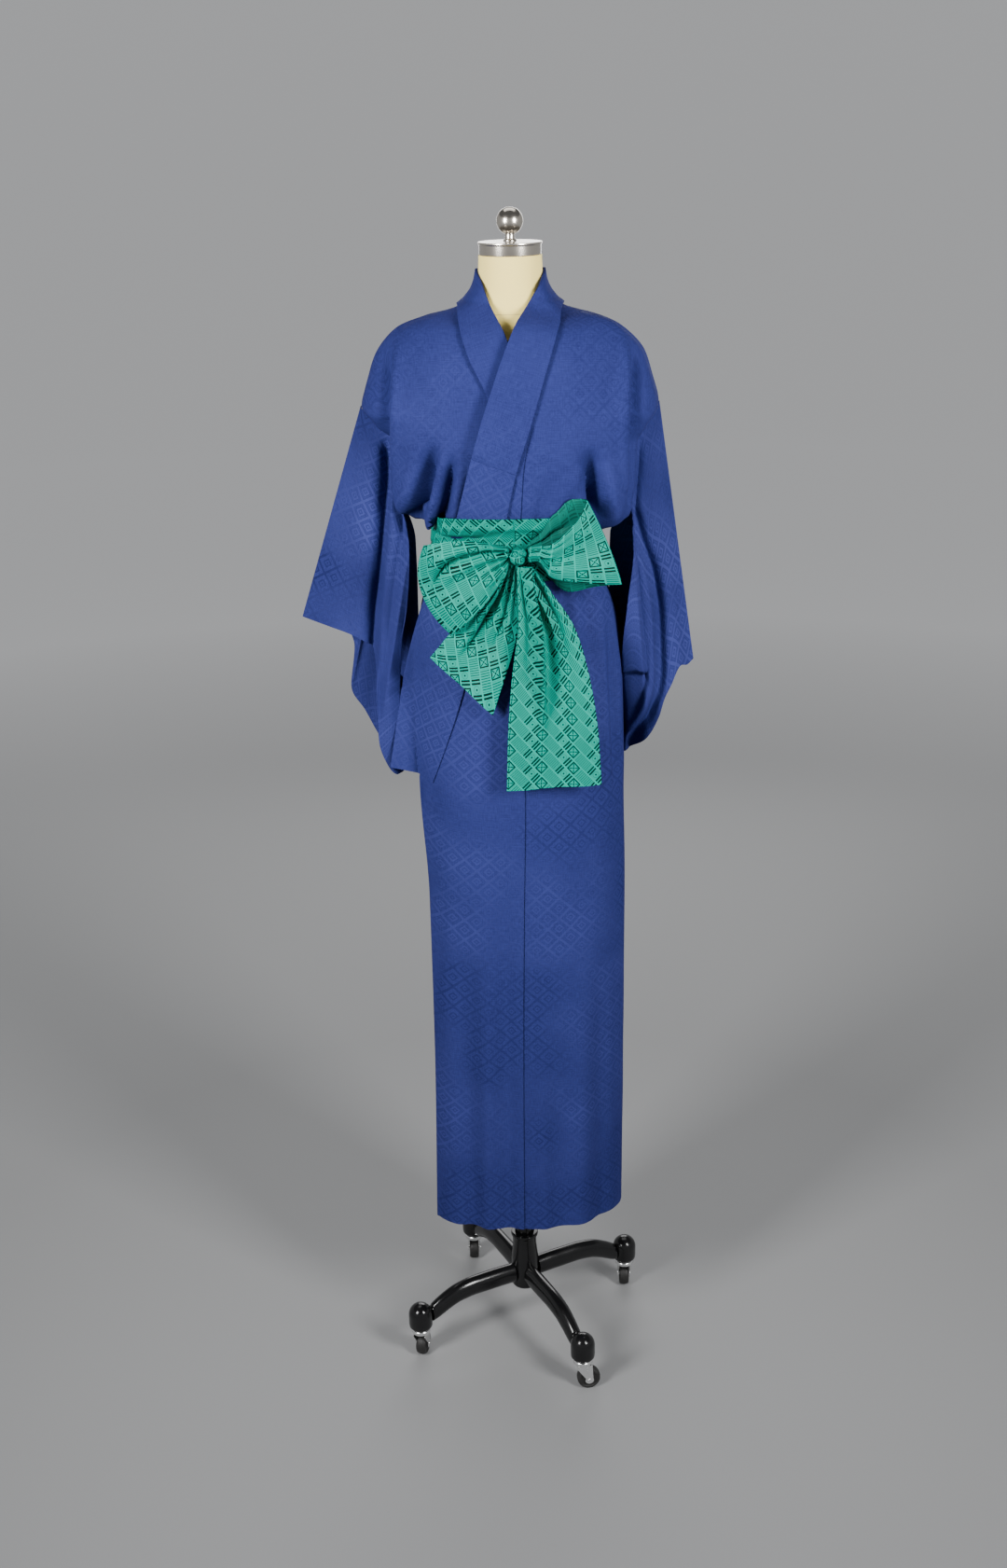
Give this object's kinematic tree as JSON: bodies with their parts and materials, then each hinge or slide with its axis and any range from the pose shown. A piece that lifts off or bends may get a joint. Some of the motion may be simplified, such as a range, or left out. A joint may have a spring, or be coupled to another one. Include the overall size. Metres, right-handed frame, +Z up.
{
  "type": "kimono robe on a limbless dress form and caster stand",
  "caption": "Long silk kimono robe, worn left over right with a soft sash tied in a front bow, on a limbless dress form with a neck cap, telescoping pole and caster base.",
  "frame": {"origin": "on the floor, under the middle of the outline; the pole stands 26 mm to +X of it", "axes": "+Z up, the wearer faces -Y, the wearer's left side is +X"},
  "size_m": [0.6184, 0.4248, 1.9466],
  "materials": {
    "blue_silk": "cobalt blue damask silk, tone on tone, soft sheen",
    "green_silk": "jade green ribbed silk with a small black geometric repeat",
    "cream_linen": "plain cream cotton, stretched smooth",
    "brushed_metal": "brushed nickel",
    "black_paint": "gloss black",
    "chrome": "bright plated steel",
    "rubber": "satin black rubber"
  },
  "bodies": {
    "base": {"hub": "black_paint", "stand_tube": "black_paint", "lock_collar": "black_paint", "lock_screw": "black_paint", "arm_1": "black_paint", "knob_1": "black_paint", "arm_2": "black_paint", "knob_2": "black_paint", "arm_3": "black_paint", "knob_3": "black_paint", "arm_4": "black_paint", "knob_4": "black_paint"},
    "pole": {"pole": "black_paint"},
    "form": {"form_torso": "cream_linen", "neck_cap": "brushed_metal", "finial": "brushed_metal", "body_left": "blue_silk", "body_right": "blue_silk", "overlap_left": "blue_silk", "overlap_right": "blue_silk", "sleeve_left": "blue_silk", "sleeve_right": "blue_silk", "collar": "blue_silk", "over_collar": "blue_silk", "sash": "green_silk", "bow_loop_left": "green_silk", "bow_loop_right": "green_silk", "bow_tail_left": "green_silk", "bow_tail_right": "green_silk", "bow_knot": "green_silk"},
    "caster_1": {"fork_1": "chrome", "axle_1": "chrome"},
    "wheel_1": {"wheel_1": "rubber"},
    "caster_2": {"fork_2": "chrome", "axle_2": "chrome"},
    "wheel_2": {"wheel_2": "rubber"},
    "caster_3": {"fork_3": "chrome", "axle_3": "chrome"},
    "wheel_3": {"wheel_3": "rubber"},
    "caster_4": {"fork_4": "chrome", "axle_4": "chrome"},
    "wheel_4": {"wheel_4": "rubber"}
  },
  "joints": [
    {"name": "height", "type": "slide", "parent": "base", "child": "pole", "axis": [0, 0, 1], "range_m": [0, 0.12]},
    {"name": "turn", "type": "hinge", "parent": "pole", "child": "form", "pos_m": [0.026, 0, 1.098], "axis": [0, 0, 1], "continuous": true},
    {"name": "swivel_1", "type": "hinge", "parent": "base", "child": "caster_1", "pos_m": [0.12183, -0.18686, 0.062], "axis": [0, 0, 1], "continuous": true},
    {"name": "roll_1", "type": "hinge", "parent": "caster_1", "child": "wheel_1", "pos_m": [0.13173, -0.18547, 0.02], "axis": [0.1392, -0.9903, 0], "continuous": true},
    {"name": "swivel_2", "type": "hinge", "parent": "base", "child": "caster_2", "pos_m": [0.21286, 0.09583, 0.062], "axis": [0, 0, 1], "continuous": true},
    {"name": "roll_2", "type": "hinge", "parent": "caster_2", "child": "wheel_2", "pos_m": [0.21286, 0.10583, 0.02], "axis": [1, 0, 0], "continuous": true},
    {"name": "swivel_3", "type": "hinge", "parent": "base", "child": "caster_3", "pos_m": [-0.06983, 0.18686, 0.062], "axis": [0, 0, 1], "continuous": true},
    {"name": "roll_3", "type": "hinge", "parent": "caster_3", "child": "wheel_3", "pos_m": [-0.07018, 0.19686, 0.02], "axis": [0.9994, 0.0349, 0], "continuous": true},
    {"name": "swivel_4", "type": "hinge", "parent": "base", "child": "caster_4", "pos_m": [-0.16086, -0.09583, 0.062], "axis": [0, 0, 1], "continuous": true},
    {"name": "roll_4", "type": "hinge", "parent": "caster_4", "child": "wheel_4", "pos_m": [-0.15827, -0.08617, 0.02], "axis": [0.9659, -0.2588, 0], "continuous": true}
  ]
}
